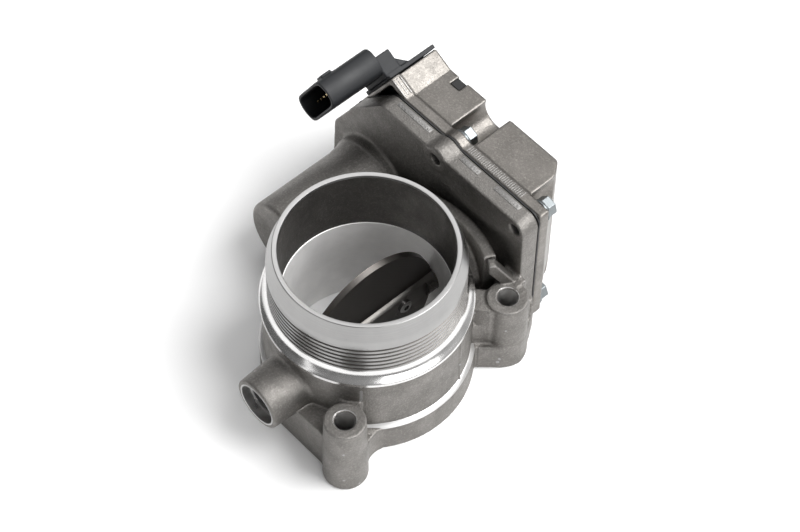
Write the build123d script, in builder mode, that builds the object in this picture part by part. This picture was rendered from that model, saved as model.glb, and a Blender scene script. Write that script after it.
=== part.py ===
"""Electric throttle body: cast housing, flap and shaft, two stage gear drive, motor and cover.

Frame: the Z axis is the bore axis and z = 0 is the flange face that bolts to the manifold.
+Z points to the hose spigot, +X runs along the flap shaft to the gear case, and +Y points to
the motor. All sizes are in millimetres. The flap is drawn fully open.
"""
import os
from math import acos, asin, atan2, cos, degrees, hypot, pi, radians, sin, sqrt, tan

from build123d import *

# ---------------------------------------------------------------- bore, spigot and flange
bore_radius = 30.75
cast_bore_radius = 31.0
machined_bore_top = 41.3
spigot_top = 68.9
rim_radius = 33.0
spigot_radius = 35.4
lead_in_bottom = 62.5
groove_count = 7
groove_pitch = 2.25
groove_width = 1.1
groove_depth = 0.5
first_groove = 57.9
collar_top = 45.0
collar_bottom = 39.2
collar_radius = 38.4
barrel_radius = 37.8
flange_radius = 39.3
flange_height = 12.8
seal_groove_radius = 35.3
seal_groove_width = 2.6
seal_groove_depth = 2.0

# ---------------------------------------------------------------- mounting bosses
boss_height = 33.5
boss_top_radius = 7.5
boss_foot_radius = 8.2
bolt_hole_radius = 3.5
boss_places = [(-37.6, -30.65), (40.0, -30.65), (40.0, 30.65)]

# ---------------------------------------------------------------- flap and shaft
shaft_height = 22.4
shaft_radius = 5.0
journal_radius = 4.0
shaft_end = 61.5
journal_end = -44.6
journal_start = -30.2
closed_angle = 16.0
flap_travel = 90.0 - closed_angle
flap_thickness = 2.1
flap_radius = 30.62
flap_screw_places = [-15.0, 15.0]
flap_screw_radius = 1.5
flap_screw_head_radius = 2.7
screw_head_seat = 3.0
running_gap = 0.04

# ---------------------------------------------------------------- bearings of the shaft
stub_end = -52.2
stub_radius = 10.2
stub_hole_radius = 8.0
stub_hole_depth = 7.8
needle_outer_radius = 7.0
needle_end = -35.0
bearing_outer_radius = 9.5
bearing_start = 43.9
bearing_end = 49.9
seal_outer_radius = 8.0
seal_start = 39.0
drive_boss_radius = 16.5

# ---------------------------------------------------------------- return spring and stops
spring_pocket_start = 44.6
spring_pocket_radius = 13.8
spring_collar_radius = 10.6
spring_bush_radius = 11.3
spring_radius = 12.4
spring_wire_radius = 0.7
spring_pitch = 1.9
spring_turns = 4.0
stop_pin_radius = 2.0
stop_pin_end = 60.0
stop_circle_radius = 16.5

# ---------------------------------------------------------------- gear case and cover
case_front = 49.5
case_floor = 52.5
joint_face = 57.2
gasket_thickness = 0.6
cover_seat = joint_face + gasket_thickness
cover_flange_top = 62.0
cover_face = 80.4
case_wall = 1.9
cover_side_wall = 1.6
cover_front_wall = 2.4
case_near = -27.0
case_bottom = 0.2
case_top = 61.5
case_far_corner = (74.4, 28.0)
case_foot_corner = (75.4, 8.5)
facet_tilt = 30.0
facet_start = (43.6, 61.5)
facet_crest = (52.3, 65.9)
facet_drop = 26.0
near_wall_foot = -26.6
near_wall_slope = 0.76
near_wall_thickness = 3.0
box_inset = 0.3
window_y = 36.8
window_width = 4.6
window_start = 75.6
screw_places = [(18.3, 58.3), (-22.6, 57.2), (-22.4, 4.8), (69.8, 6.4), (64.5, 36.0)]
open_screw_places = screw_places[:2]
screw_radius = 2.4
screw_boss_radius = 4.6
screw_lug_radius = 5.2
screw_trough_radius = 6.4
trough_wall = 1.8

# ---------------------------------------------------------------- motor
motor_y = 51.0
motor_z = 17.0
motor_housing_radius = 16.5
motor_housing_end = 2.0
motor_radius = 14.0
motor_bore_radius = 14.15
motor_start = 5.2
motor_end = 51.0
motor_shaft_radius = 1.6
wave_spring_thickness = 0.8
strap_screw_places = [(motor_y - 17.3, motor_z + 2.0), (motor_y + 17.3, motor_z + 2.0)]
strap_screw_radius = 1.5
strap_thickness = 1.5

# ---------------------------------------------------------------- gears
gear_module = 0.8
sector_teeth = 51
idler_small_teeth = 12
idler_large_teeth = 57
pinion_teeth = 12
pressure_angle = 20.0
tooth_thinning = 0.16
sector_start = 54.8
sector_end = 61.0
sector_lead = 5.0
idler_pinion_start = 54.9
wheel_start = 64.6
wheel_end = 70.2
idler_pin_radius = 2.5
idler_pin_end = 77.6
pinion_start = 63.8
pinion_end = 71.0
magnet_radius = 7.7
magnet_depth = 3.0

# ---------------------------------------------------------------- connector, in its tilted frame
socket_start = 33.0
socket_end = 57.2
socket_near = 3.1
socket_far = 14.4
socket_crown = 2.4
socket_bottom = -24.0
socket_wall = 1.4
plate_start = 57.9
plate_thickness = 1.7
plate_bottom = -24.5
pin_count = 6
connector_x = 69.6

# ================================================================ values that follow from these
sector_radius = gear_module * sector_teeth / 2
idler_small_radius = gear_module * idler_small_teeth / 2
idler_large_radius = gear_module * idler_large_teeth / 2
pinion_radius = gear_module * pinion_teeth / 2
first_distance = idler_large_radius + pinion_radius
second_distance = sector_radius + idler_small_radius

# The idler pin stands where both centre distances meet, above the line of the two shafts.
span_y = motor_y
span_z = motor_z - shaft_height
span = hypot(span_y, span_z)
along = (second_distance**2 - first_distance**2 + span**2) / (2 * span)
aside = sqrt(second_distance**2 - along**2)
idler_y = (along * span_y - aside * span_z) / span
idler_z = shaft_height + (along * span_z + aside * span_y) / span
sector_mesh_angle = degrees(atan2(idler_z - shaft_height, idler_y))
pinion_mesh_angle = degrees(atan2(motor_z - idler_z, motor_y - idler_y))

# The toothed arc reaches a little past the mesh at each end of the travel.
sector_pitch_angle = 360 / sector_teeth
sector_low_angle = sector_mesh_angle - flap_travel - sector_lead
sector_high_angle = sector_mesh_angle + sector_lead
stop_offset = degrees(asin((stop_pin_radius + 0.1) / stop_circle_radius))
stop_angles = [sector_low_angle - stop_offset, sector_high_angle + flap_travel + stop_offset]

# The connector's frame lies on the tilted facet: X, across the facet, and square to it.
facet_across = (0.0, cos(radians(facet_tilt)), sin(radians(facet_tilt)))
facet_up = (0.0, -sin(radians(facet_tilt)), cos(radians(facet_tilt)))
facet_low = (
    facet_crest[0] + facet_drop * sin(radians(facet_tilt)),
    facet_crest[1] - facet_drop * cos(radians(facet_tilt)),
)

case_points = [
    (case_near, case_bottom),
    (case_near, case_top),
    (48.0, case_top),
    (64.0, 45.0),
    case_far_corner,
    case_foot_corner,
    (71.0, case_bottom),
]
cover_points = [
    (case_near, case_bottom),
    (case_near, case_top),
    facet_start,
    facet_crest,
    facet_low,
    case_far_corner,
    case_foot_corner,
    (71.0, case_bottom),
]

os.makedirs("parts", exist_ok=True)


def save(builder, name):
    """Label a finished piece and write it to its own file."""
    builder.part.label = name
    export_step(builder.part, f"parts/{name}.step")


def side_plane(x, y=0.0, z=0.0):
    """Plane square to the shaft at x, with its origin at (y, z) and local axes along Y and Z."""
    return Plane(origin=(x, y, z), x_dir=(0, 1, 0), z_dir=(1, 0, 0))


def shaft_plane(x):
    return side_plane(x, 0.0, shaft_height)


def idler_plane(x):
    return side_plane(x, idler_y, idler_z)


def motor_plane(x):
    return side_plane(x, motor_y, motor_z)


def facet_plane(x):
    """Plane square to X at x, with its origin on the facet's crest and axes across and up."""
    return Plane(origin=(x, *facet_crest), x_dir=facet_across, z_dir=(1, 0, 0))


def disc(plane, radius, length, mode=Mode.ADD):
    """Extrude a disc from a plane in the part that is being built."""
    with BuildSketch(plane) as section:
        Circle(radius)
    extrude(section.sketch, amount=length, mode=mode)


def tube(plane, outer, inner, length, name):
    """Write a plain ring as a piece of its own."""
    with BuildPart() as ring:
        with BuildSketch(plane):
            Circle(outer)
            Circle(inner, mode=Mode.SUBTRACT)
        extrude(amount=length)
    save(ring, name)


def prism(points, start, length, mode=Mode.ADD):
    """Extrude a closed XY outline upwards in the part that is being built."""
    with BuildSketch(Plane.XY.offset(start)) as section:
        with BuildLine():
            Polyline(*points, close=True)
        make_face()
    extrude(section.sketch, amount=length, mode=mode)


def screw_discs(radius, mode=Mode.ADD):
    """Discs around the cover screws on the current sketch."""
    with Locations(*screw_places):
        Circle(radius, mode=mode)


def rounded_outline(points, radius, sharp=()):
    """Closed outline through points, with every corner rounded except the sharp ones."""
    with BuildSketch() as outline:
        with BuildLine():
            Polyline(*points, close=True)
        make_face()
        corners = outline.vertices()
        for point in sharp:
            corners.remove(corners.sort_by_distance(point)[0])
        fillet(corners, radius)
    return outline.sketch


def involute(angle):
    return tan(angle) - angle


def tooth_points(teeth, centre_angle):
    """Involute outline of one tooth, from root to root, around a centre angle in degrees."""
    pitch_radius = gear_module * teeth / 2
    base_radius = pitch_radius * cos(radians(pressure_angle))
    root_radius = pitch_radius - 1.25 * gear_module
    tip_radius = pitch_radius + 0.9 * gear_module
    flank_start = max(root_radius + 0.05, base_radius)
    radii = [root_radius] + [flank_start + (tip_radius - flank_start) * i / 4 for i in range(5)]
    middle = radians(centre_angle)
    pitch_half = pi / (2 * teeth) - tooth_thinning / (2 * pitch_radius)
    left = []
    right = []
    for radius in radii:
        roll = acos(base_radius / max(radius, base_radius))
        half = pitch_half + involute(radians(pressure_angle)) - involute(roll)
        left.append((radius * cos(middle - half), radius * sin(middle - half)))
        right.append((radius * cos(middle + half), radius * sin(middle + half)))
    return left + right[::-1]


def gear_points(teeth, first_angle):
    """Closed outline of a full gear whose first tooth is centred on an angle in degrees."""
    points = []
    for tooth in range(teeth):
        points += tooth_points(teeth, first_angle + tooth * 360 / teeth)
    return points


def gear_disc(plane, teeth, first_angle, length):
    """Extrude a full gear from a plane in the part that is being built."""
    with BuildSketch(plane) as section:
        with BuildLine():
            Polyline(*gear_points(teeth, first_angle), close=True)
        make_face()
    extrude(section.sketch, amount=length)


case_outline = rounded_outline(case_points, 5.0)
case_hollow_outline = offset(case_outline, -case_wall)
cover_outline = rounded_outline(cover_points, 5.0, sharp=[facet_start, facet_crest, facet_low])
cover_box_outline = offset(cover_outline, -box_inset)
cover_hollow_outline = offset(cover_outline, -box_inset - cover_side_wall)

# ================================================================ cast throttle housing
with BuildPart() as barrel:
    with BuildSketch(Plane.XZ):
        with BuildLine():
            Polyline(
                (collar_radius - 1.0, collar_bottom + 2.4),
                (collar_radius, collar_bottom + 0.8),
                (collar_radius, collar_bottom),
                (barrel_radius, collar_bottom - 0.6),
                (barrel_radius, flange_height + 1.6),
                (flange_radius, flange_height),
                (flange_radius, 0),
                (0, 0),
                (0, spigot_top),
                (rim_radius, spigot_top),
                (spigot_radius, lead_in_bottom),
                (spigot_radius, collar_top),
            )
            ThreePointArc(
                (spigot_radius, collar_top),
                (spigot_radius + 0.5, collar_top - 2.0),
                (collar_radius - 1.0, collar_bottom + 2.4),
            )
        make_face()
    revolve(axis=Axis.Z)
    for index in range(groove_count):
        with BuildSketch(Plane.XZ):
            with Locations((spigot_radius, first_groove - index * groove_pitch)):
                Rectangle(2 * groove_depth, groove_width)
        revolve(axis=Axis.Z, mode=Mode.SUBTRACT)

with BuildPart() as throttle_housing:
    add(barrel.part)
    # bearing boss of the free shaft end, tapered for the mould
    with BuildSketch(shaft_plane(-20.0)):
        Circle(stub_radius + 1.0)
    with BuildSketch(shaft_plane(stub_end)):
        Circle(stub_radius)
    loft()
    # webs between that boss, the left mounting boss and the flange
    prism([(-42.4, 0.0), (-42.4, -30.0), (-30.0, -30.0), (-30.0, 0.0)], 0, 20.0)
    prism(
        [(-36.0, -36.5), (-31.5, -34.4), (-27.5, -32.8), (-23.0, -32.0), (-30.0, -20.0)],
        0,
        flange_height,
    )
    prism([(-36.0, -30.0), (-30.5, -31.0), (-24.5, -24.5), (-30.0, -18.0)], 0, 27.0)
    # mounting bosses, tapered for the mould
    for place in boss_places:
        with BuildSketch(Plane.XY):
            with Locations(place):
                Circle(boss_foot_radius)
        with BuildSketch(Plane.XY.offset(boss_height)):
            with Locations(place):
                Circle(boss_top_radius)
        loft()
    # foot between the flange, the right boss and the gear case
    prism(
        [
            (27.0, -30.5),
            (33.0, -36.0),
            (40.0, -38.8),
            (46.0, -36.2),
            (54.5, -30.5),
            (joint_face, case_near),
            (joint_face, 20.0),
            (30.0, 20.0),
        ],
        0,
        flange_height,
    )
    prism([(24, -26), (33, -31), (40, -30), (50, -33), (50, -12), (30, -12)], 0, 24.0)
    prism([(26.0, -24.0), (31.2, -31.0), (38, -33), (40, -26), (33, -18)], 0, boss_height - 0.9)
    prism([(43.5, -30), (50, -30), (50, -16.0), (45.3, -16.8)], 0, boss_height)
    # bearing boss on the drive side
    disc(shaft_plane(20.0), drive_boss_radius, case_front - 19.0)
    # curved rib around the spigot, from the right boss to the rear
    with BuildSketch(Plane.XY):
        Circle(48.0)
        Circle(43.5, mode=Mode.SUBTRACT)
        with BuildLine():
            Polyline((0, 0), (60.0, -27.9), (60.0, 36.0), close=True)
        make_face(mode=Mode.INTERSECT)
    extrude(amount=45.0)
    # floor between the barrel, the rear boss and the motor housing
    prism([(8.0, 30.0), (8.0, 44.0), (50.0, 44.0), (50.0, 10.0)], 0, flange_height)
    # motor housing with a chamfered end
    with BuildSketch(motor_plane(motor_housing_end)):
        Circle(motor_housing_radius - 1.5)
    with BuildSketch(motor_plane(motor_housing_end + 1.5)):
        Circle(motor_housing_radius)
    loft()
    disc(motor_plane(motor_housing_end + 1.5), motor_housing_radius, case_front - motor_housing_end)
    # gear case with lugs around the cover screws
    with BuildSketch(side_plane(case_front)):
        add(case_outline)
        with Locations(screw_places[0]):
            Circle(screw_lug_radius)
    extrude(amount=joint_face - case_front)

    # bore
    disc(Plane.XY, bore_radius, machined_bore_top, Mode.SUBTRACT)
    disc(Plane.XY.offset(machined_bore_top), cast_bore_radius, spigot_top, Mode.SUBTRACT)
    # bolt holes with a small lead-in
    with BuildSketch(Plane.XY):
        with Locations(*boss_places):
            Circle(bolt_hole_radius)
    extrude(amount=boss_height, mode=Mode.SUBTRACT)
    with BuildSketch(Plane.XY.offset(boss_height)):
        with Locations(*boss_places):
            Circle(bolt_hole_radius + 0.6)
    extrude(amount=-0.6, taper=45, mode=Mode.SUBTRACT)
    # seal groove in the flange face
    with BuildSketch(Plane.XY):
        Circle(seal_groove_radius + seal_groove_width / 2)
        Circle(seal_groove_radius - seal_groove_width / 2, mode=Mode.SUBTRACT)
    extrude(amount=seal_groove_depth, mode=Mode.SUBTRACT)
    # seats and passages along the shaft, from the free end to the gear case
    disc(shaft_plane(stub_end), stub_hole_radius, stub_hole_depth, Mode.SUBTRACT)
    disc(shaft_plane(stub_end), needle_outer_radius, needle_end - stub_end, Mode.SUBTRACT)
    disc(shaft_plane(needle_end), journal_radius + 0.1, 8.0, Mode.SUBTRACT)
    disc(shaft_plane(28.0), shaft_radius + 0.1, 20.0, Mode.SUBTRACT)
    disc(shaft_plane(seal_start), seal_outer_radius, 10.0, Mode.SUBTRACT)
    disc(shaft_plane(bearing_start), bearing_outer_radius, 14.0, Mode.SUBTRACT)
    # return spring pocket around the bearing seat
    with BuildSketch(shaft_plane(spring_pocket_start)):
        Circle(spring_pocket_radius)
        Circle(spring_collar_radius, mode=Mode.SUBTRACT)
    extrude(amount=case_floor - spring_pocket_start, mode=Mode.SUBTRACT)
    # gear case hollow, with the screw bosses left standing
    with BuildSketch(side_plane(case_floor)):
        add(case_hollow_outline)
        screw_discs(screw_boss_radius, mode=Mode.SUBTRACT)
    extrude(amount=joint_face - case_floor, mode=Mode.SUBTRACT)
    # idler pin boss and hole
    disc(idler_plane(case_floor - 0.5), 5.5, 2.0)
    disc(idler_plane(case_front + 0.8), idler_pin_radius, 8.0, Mode.SUBTRACT)
    # motor bore, blind towards the free end
    disc(motor_plane(motor_start - wave_spring_thickness), motor_bore_radius, 60.0, Mode.SUBTRACT)
    # cover screw holes, the upper two open at the front face
    with BuildSketch(side_plane(case_front + 1.0)):
        screw_discs(screw_radius)
    extrude(amount=12.0, mode=Mode.SUBTRACT)
    with BuildSketch(side_plane(case_front)):
        with Locations(*open_screw_places):
            Circle(screw_radius)
    extrude(amount=2.0, mode=Mode.SUBTRACT)
    # holes of the stop pins and the motor strap screws
    with BuildSketch(shaft_plane(case_front + 0.8)):
        for angle in stop_angles:
            with Locations(
                (stop_circle_radius * cos(radians(angle)), stop_circle_radius * sin(radians(angle)))
            ):
                Circle(stop_pin_radius)
    extrude(amount=8.0, mode=Mode.SUBTRACT)
    with BuildSketch(side_plane(case_front + 0.8)):
        with Locations(*strap_screw_places):
            Circle(strap_screw_radius)
    extrude(amount=8.0, mode=Mode.SUBTRACT)
save(throttle_housing, "throttle_housing")


# ================================================================ flap, shaft and flap screws
# The flap is a disc whose edge follows the bore when it is closed, swung to the open position.
closed_bore_axis = (0, sin(radians(flap_travel)), cos(radians(flap_travel)))

with BuildPart() as throttle_flap:
    with BuildSketch(Plane(origin=(0, 0, shaft_height), x_dir=(1, 0, 0), z_dir=closed_bore_axis)):
        Circle(flap_radius)
    extrude(amount=40.0, both=True)
    with BuildSketch(Plane.XZ.offset(-flap_thickness / 2)):
        with Locations((0, shaft_height)):
            Rectangle(80.0, 80.0)
    extrude(amount=flap_thickness, mode=Mode.INTERSECT)
    with BuildSketch(Plane.XZ.offset(-10.0)):
        with Locations(*[(x, shaft_height) for x in flap_screw_places]):
            Circle(flap_screw_radius)
    extrude(amount=20.0, mode=Mode.SUBTRACT)
save(throttle_flap, "throttle_flap")

with BuildPart() as throttle_shaft:
    disc(shaft_plane(journal_start), shaft_radius, shaft_end - journal_start)
    disc(shaft_plane(journal_end), journal_radius, journal_start - journal_end)
    chamfer(throttle_shaft.faces().sort_by(Axis.X)[0].edges(), 0.5)
    chamfer(throttle_shaft.faces().sort_by(Axis.X)[-1].edges(), 0.6)
    # slot for the flap
    with BuildSketch(shaft_plane(-flap_radius - 0.03)):
        Rectangle(flap_thickness, 4 * shaft_radius)
    extrude(amount=2 * flap_radius + 0.06, mode=Mode.SUBTRACT)
    # flat under the screw heads
    with BuildSketch(shaft_plane(-26.0)):
        with Locations((-screw_head_seat - 5.0, 0)):
            Rectangle(10.0, 12.0)
    extrude(amount=52.0, mode=Mode.SUBTRACT)
    with BuildSketch(Plane.XZ.offset(-10.0)):
        with Locations(*[(x, shaft_height) for x in flap_screw_places]):
            Circle(flap_screw_radius)
    extrude(amount=20.0, mode=Mode.SUBTRACT)
save(throttle_shaft, "throttle_shaft")

with BuildPart() as flap_screws:
    for x in flap_screw_places:
        seat = Plane(origin=(x, -screw_head_seat, shaft_height), x_dir=(1, 0, 0), z_dir=(0, -1, 0))
        disc(seat, flap_screw_head_radius, 1.7)
        disc(seat, flap_screw_radius, -screw_head_seat - shaft_radius + 0.6)
        with BuildSketch(seat.offset(1.7)):
            RegularPolygon(1.3, 6)
        extrude(amount=-1.1, mode=Mode.SUBTRACT)
    chamfer(flap_screws.faces().sort_by(Axis.Y)[:2].edges().filter_by(GeomType.CIRCLE), 0.5)
save(flap_screws, "flap_screws")

# ================================================================ bearings, seals and plug
tube(
    shaft_plane(bearing_start + 0.1),
    bearing_outer_radius,
    shaft_radius + running_gap,
    bearing_end - bearing_start - 0.1,
    "drive_bearing",
)
tube(shaft_plane(seal_start + 0.3), seal_outer_radius, shaft_radius + running_gap, 4.4, "shaft_seal")
tube(
    shaft_plane(stub_end + stub_hole_depth + 0.2),
    needle_outer_radius,
    journal_radius + running_gap,
    needle_end - stub_end - stub_hole_depth - 0.4,
    "needle_bearing",
)
tube(
    Plane.XY.offset(0.1),
    seal_groove_radius + seal_groove_width / 2 - 0.05,
    seal_groove_radius - seal_groove_width / 2 + 0.05,
    seal_groove_depth - 0.15,
    "flange_seal",
)

with BuildPart() as bearing_plug:
    disc(shaft_plane(stub_end + 3.8), stub_hole_radius, 2.4)
    disc(shaft_plane(stub_end + 3.8), stub_hole_radius - 1.2, 1.4, Mode.SUBTRACT)
    disc(shaft_plane(stub_end + 3.8), 2.2, 1.4)
save(bearing_plug, "bearing_plug")

# ================================================================ sector gear and position magnet
root_radius = sector_radius - 1.25 * gear_module
sector_points = [
    (0, 0),
    (root_radius * cos(radians(sector_low_angle)), root_radius * sin(radians(sector_low_angle))),
]
for tooth in range(-11, 1):
    sector_points += tooth_points(sector_teeth, sector_mesh_angle + sector_pitch_angle * (tooth + 0.5))
sector_points.append(
    (root_radius * cos(radians(sector_high_angle)), root_radius * sin(radians(sector_high_angle)))
)

with BuildPart() as sector_gear:
    with BuildSketch(shaft_plane(sector_start)):
        with BuildLine():
            Polyline(*sector_points, close=True)
        make_face()
        Circle(9.2)
    extrude(amount=sector_end - sector_start)
    # recess in the web, between the hub and the rim
    with BuildSketch(shaft_plane(sector_end)):
        with BuildLine():
            Polyline(
                (0, 0),
                *[
                    (40 * cos(radians(angle)), 40 * sin(radians(angle)))
                    for angle in (sector_low_angle + 11, sector_mesh_angle - 37, sector_high_angle - 11)
                ],
                close=True,
            )
        make_face()
        Circle(17.2, mode=Mode.INTERSECT)
        Circle(11.0, mode=Mode.SUBTRACT)
    extrude(amount=-2.4, mode=Mode.SUBTRACT)
    disc(shaft_plane(sector_start - 0.9), 8.6, 2.0)
    disc(shaft_plane(sector_end - magnet_depth), magnet_radius, 4.0, Mode.SUBTRACT)
    disc(shaft_plane(sector_start - 2.0), shaft_radius, 20.0, Mode.SUBTRACT)
save(sector_gear, "sector_gear")
tube(shaft_plane(sector_end - magnet_depth), magnet_radius, shaft_radius, 2.8, "position_magnet")

# ================================================================ return spring, bush and stops
tube(
    shaft_plane(spring_pocket_start + 0.2),
    spring_bush_radius,
    spring_collar_radius,
    case_floor - spring_pocket_start + 0.4,
    "spring_bush",
)

with BuildPart() as return_spring:
    with BuildLine() as coil:
        Helix(
            pitch=spring_pitch,
            height=spring_pitch * spring_turns,
            radius=spring_radius,
            center=(spring_pocket_start + spring_wire_radius + 0.3, 0, shaft_height),
            direction=(1, 0, 0),
        )
    with BuildSketch(Plane(origin=coil.line @ 0, z_dir=coil.line % 0)):
        Circle(spring_wire_radius)
    sweep(is_frenet=True)
save(return_spring, "return_spring")

with BuildPart() as stop_pins:
    with BuildSketch(shaft_plane(case_front + 0.8)):
        for angle in stop_angles:
            with Locations(
                (stop_circle_radius * cos(radians(angle)), stop_circle_radius * sin(radians(angle)))
            ):
                Circle(stop_pin_radius)
    extrude(amount=stop_pin_end - case_front - 0.8)
    chamfer(stop_pins.faces().filter_by(Axis.X).sort_by(Axis.X)[-2:].edges(), 0.4)
save(stop_pins, "stop_pins")

# ================================================================ idler gear and its pin
with BuildPart() as idler_gear:
    gear_disc(
        idler_plane(idler_pinion_start),
        idler_small_teeth,
        sector_mesh_angle + 180,
        wheel_start + 1.0 - idler_pinion_start,
    )
    gear_disc(idler_plane(wheel_start), idler_large_teeth, pinion_mesh_angle, wheel_end - wheel_start)
    # dished web on the outer side
    with BuildSketch(idler_plane(wheel_end)):
        Circle(idler_large_radius - 4.0)
        Circle(6.5, mode=Mode.SUBTRACT)
    extrude(amount=-2.4, mode=Mode.SUBTRACT)
    disc(idler_plane(wheel_end - 1.0), 5.4, 3.4)
    disc(idler_plane(idler_pinion_start - 1.0), idler_pin_radius + running_gap, 30.0, Mode.SUBTRACT)
save(idler_gear, "idler_gear")

with BuildPart() as idler_pin:
    disc(idler_plane(case_front + 0.8), idler_pin_radius, idler_pin_end - case_front - 0.8)
    chamfer(idler_pin.faces().filter_by(Axis.X).sort_by(Axis.X)[-1].edges(), 0.4)
save(idler_pin, "idler_pin")

# ================================================================ motor
commutator_start = motor_start + 33.0

with BuildPart() as motor_can:
    disc(motor_plane(motor_start), motor_radius, motor_end - motor_start)
    fillet(motor_can.faces().sort_by(Axis.X)[0].edges(), 0.8)
    disc(motor_plane(motor_start + 1.0), motor_radius - 1.0, motor_end - motor_start, Mode.SUBTRACT)
save(motor_can, "motor_can")

with BuildPart() as motor_end_bell:
    disc(motor_plane(motor_end - 3.0), motor_radius - 1.0, 3.0)
    disc(motor_plane(motor_end), motor_radius, case_floor - motor_end)
    disc(motor_plane(motor_end), 5.0, case_floor + strap_thickness - motor_end)
    disc(motor_plane(motor_end - 4.0), motor_shaft_radius + running_gap, 10.0, Mode.SUBTRACT)
save(motor_end_bell, "motor_end_bell")

with BuildPart() as motor_rotor:
    disc(motor_plane(motor_start + 3.0), motor_shaft_radius, pinion_end + 0.4 - motor_start - 3.0)
    with BuildSketch(motor_plane(motor_start + 8.0)):
        Circle(9.4)
        with PolarLocations(8.4, 7):
            Rectangle(5.0, 1.6, mode=Mode.SUBTRACT)
    extrude(amount=24.0)
    disc(motor_plane(commutator_start), 4.2, 5.0)
save(motor_rotor, "motor_rotor")

tube(motor_plane(motor_start + 6.0), motor_radius - 1.0, 10.0, 28.0, "motor_magnets")
tube(motor_plane(motor_start - wave_spring_thickness), 10.5, 7.5, wave_spring_thickness, "motor_wave_spring")

with BuildPart() as motor_brushes:
    with BuildSketch(motor_plane(commutator_start + 0.6)):
        with Locations((-6.8, 0), (6.8, 0)):
            Rectangle(5.0, 3.0)
    extrude(amount=3.8)
save(motor_brushes, "motor_brushes")

with BuildPart() as motor_pinion:
    gear_disc(
        motor_plane(pinion_start),
        pinion_teeth,
        pinion_mesh_angle + 180 + 180 / pinion_teeth,
        pinion_end - pinion_start,
    )
    disc(motor_plane(pinion_start - 1.0), motor_shaft_radius, 20.0, Mode.SUBTRACT)
save(motor_pinion, "motor_pinion")

with BuildPart() as motor_strap:
    with BuildSketch(side_plane(case_floor)):
        with Locations((motor_y, strap_screw_places[0][1])):
            SlotCenterToCenter(strap_screw_places[1][0] - strap_screw_places[0][0], 8.6)
        with Locations((motor_y, motor_z)):
            Circle(11.2)
            Circle(5.1, mode=Mode.SUBTRACT)
        with Locations(*strap_screw_places):
            Circle(strap_screw_radius, mode=Mode.SUBTRACT)
    extrude(amount=strap_thickness)
save(motor_strap, "motor_strap")

with BuildPart() as strap_screws:
    for y, z in strap_screw_places:
        disc(side_plane(case_floor + strap_thickness, y, z), 2.7, 2.0)
        disc(side_plane(case_front + 1.0, y, z), strap_screw_radius, case_floor - case_front + 1.0)
    chamfer(strap_screws.faces().sort_by(Axis.X)[-2:].edges(), 0.5)
save(strap_screws, "strap_screws")

# ================================================================ cover, gasket and cover screws
with BuildPart() as cover_gasket:
    with BuildSketch(side_plane(joint_face)):
        add(case_outline)
        with Locations(screw_places[0]):
            Circle(screw_lug_radius)
        add(case_hollow_outline, mode=Mode.SUBTRACT)
        screw_discs(screw_boss_radius)
        screw_discs(screw_radius, mode=Mode.SUBTRACT)
    extrude(amount=gasket_thickness)
save(cover_gasket, "cover_gasket")


def near_wall_y(x, inset):
    """Where the slanted near wall stands at x, moved inwards by an inset."""
    return near_wall_foot + (x - cover_flange_top) * near_wall_slope + inset


def near_wall_wedge(inset):
    """Outline of the material outside the slanted near wall."""
    low = cover_seat - 5
    high = cover_face + 5
    return [
        (low, near_wall_y(low, inset)),
        (high, near_wall_y(high, inset)),
        (high, case_near - 30),
        (low, case_near - 30),
    ]


with BuildPart() as cover_box:
    with BuildSketch(side_plane(cover_seat)):
        add(cover_box_outline)
    extrude(amount=cover_face - cover_seat)
    prism(near_wall_wedge(0), -10, 90, Mode.SUBTRACT)
    fillet(cover_box.faces().sort_by(Axis.X)[-1].edges(), 1.2)

with BuildPart() as cover_hollow:
    with BuildSketch(side_plane(cover_seat - 1)):
        add(cover_hollow_outline)
    extrude(amount=cover_face - cover_front_wall - cover_seat + 1)
    prism(near_wall_wedge(near_wall_thickness), -10, 90, Mode.SUBTRACT)
    with BuildSketch(side_plane(cover_seat - 1)):
        screw_discs(screw_trough_radius + trough_wall)
    extrude(amount=40.0, mode=Mode.SUBTRACT)

with BuildPart() as gear_cover:
    with BuildSketch(side_plane(cover_seat)):
        add(cover_outline)
        with Locations(screw_places[0]):
            Circle(screw_lug_radius)
    extrude(amount=cover_flange_top - cover_seat)
    add(cover_box.part)
    with BuildSketch(side_plane(cover_flange_top)):
        screw_discs(screw_trough_radius)
    extrude(amount=cover_face - cover_flange_top + 1, mode=Mode.SUBTRACT)
    add(cover_hollow.part, mode=Mode.SUBTRACT)
    with BuildSketch(side_plane(cover_seat)):
        screw_discs(screw_radius)
    extrude(amount=cover_flange_top - cover_seat, mode=Mode.SUBTRACT)
    # boss that steadies the idler pin
    with BuildSketch(idler_plane(cover_face - cover_front_wall - 4.0)):
        Circle(5.0)
        Circle(idler_pin_radius, mode=Mode.SUBTRACT)
    extrude(amount=4.2)
    disc(idler_plane(cover_face - cover_front_wall - 5.0), idler_pin_radius, 4.8, Mode.SUBTRACT)
    # window at the top edge
    with BuildSketch(side_plane(window_start)):
        with Locations((window_y, case_top)):
            Rectangle(window_width, 6.4)
    extrude(amount=20.0, mode=Mode.SUBTRACT)
    # opening for the connector
    with BuildSketch(side_plane(connector_x - 7.0, *facet_crest)):
        with BuildLine():
            Polyline(
                *[
                    (
                        across * facet_across[1] + up * facet_up[1],
                        across * facet_across[2] + up * facet_up[2],
                    )
                    for across, up in ((-9, -4), (9, -4), (9, -20), (-9, -20))
                ],
                close=True,
            )
        make_face()
    extrude(amount=14.0, mode=Mode.SUBTRACT)
save(gear_cover, "gear_cover")

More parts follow.
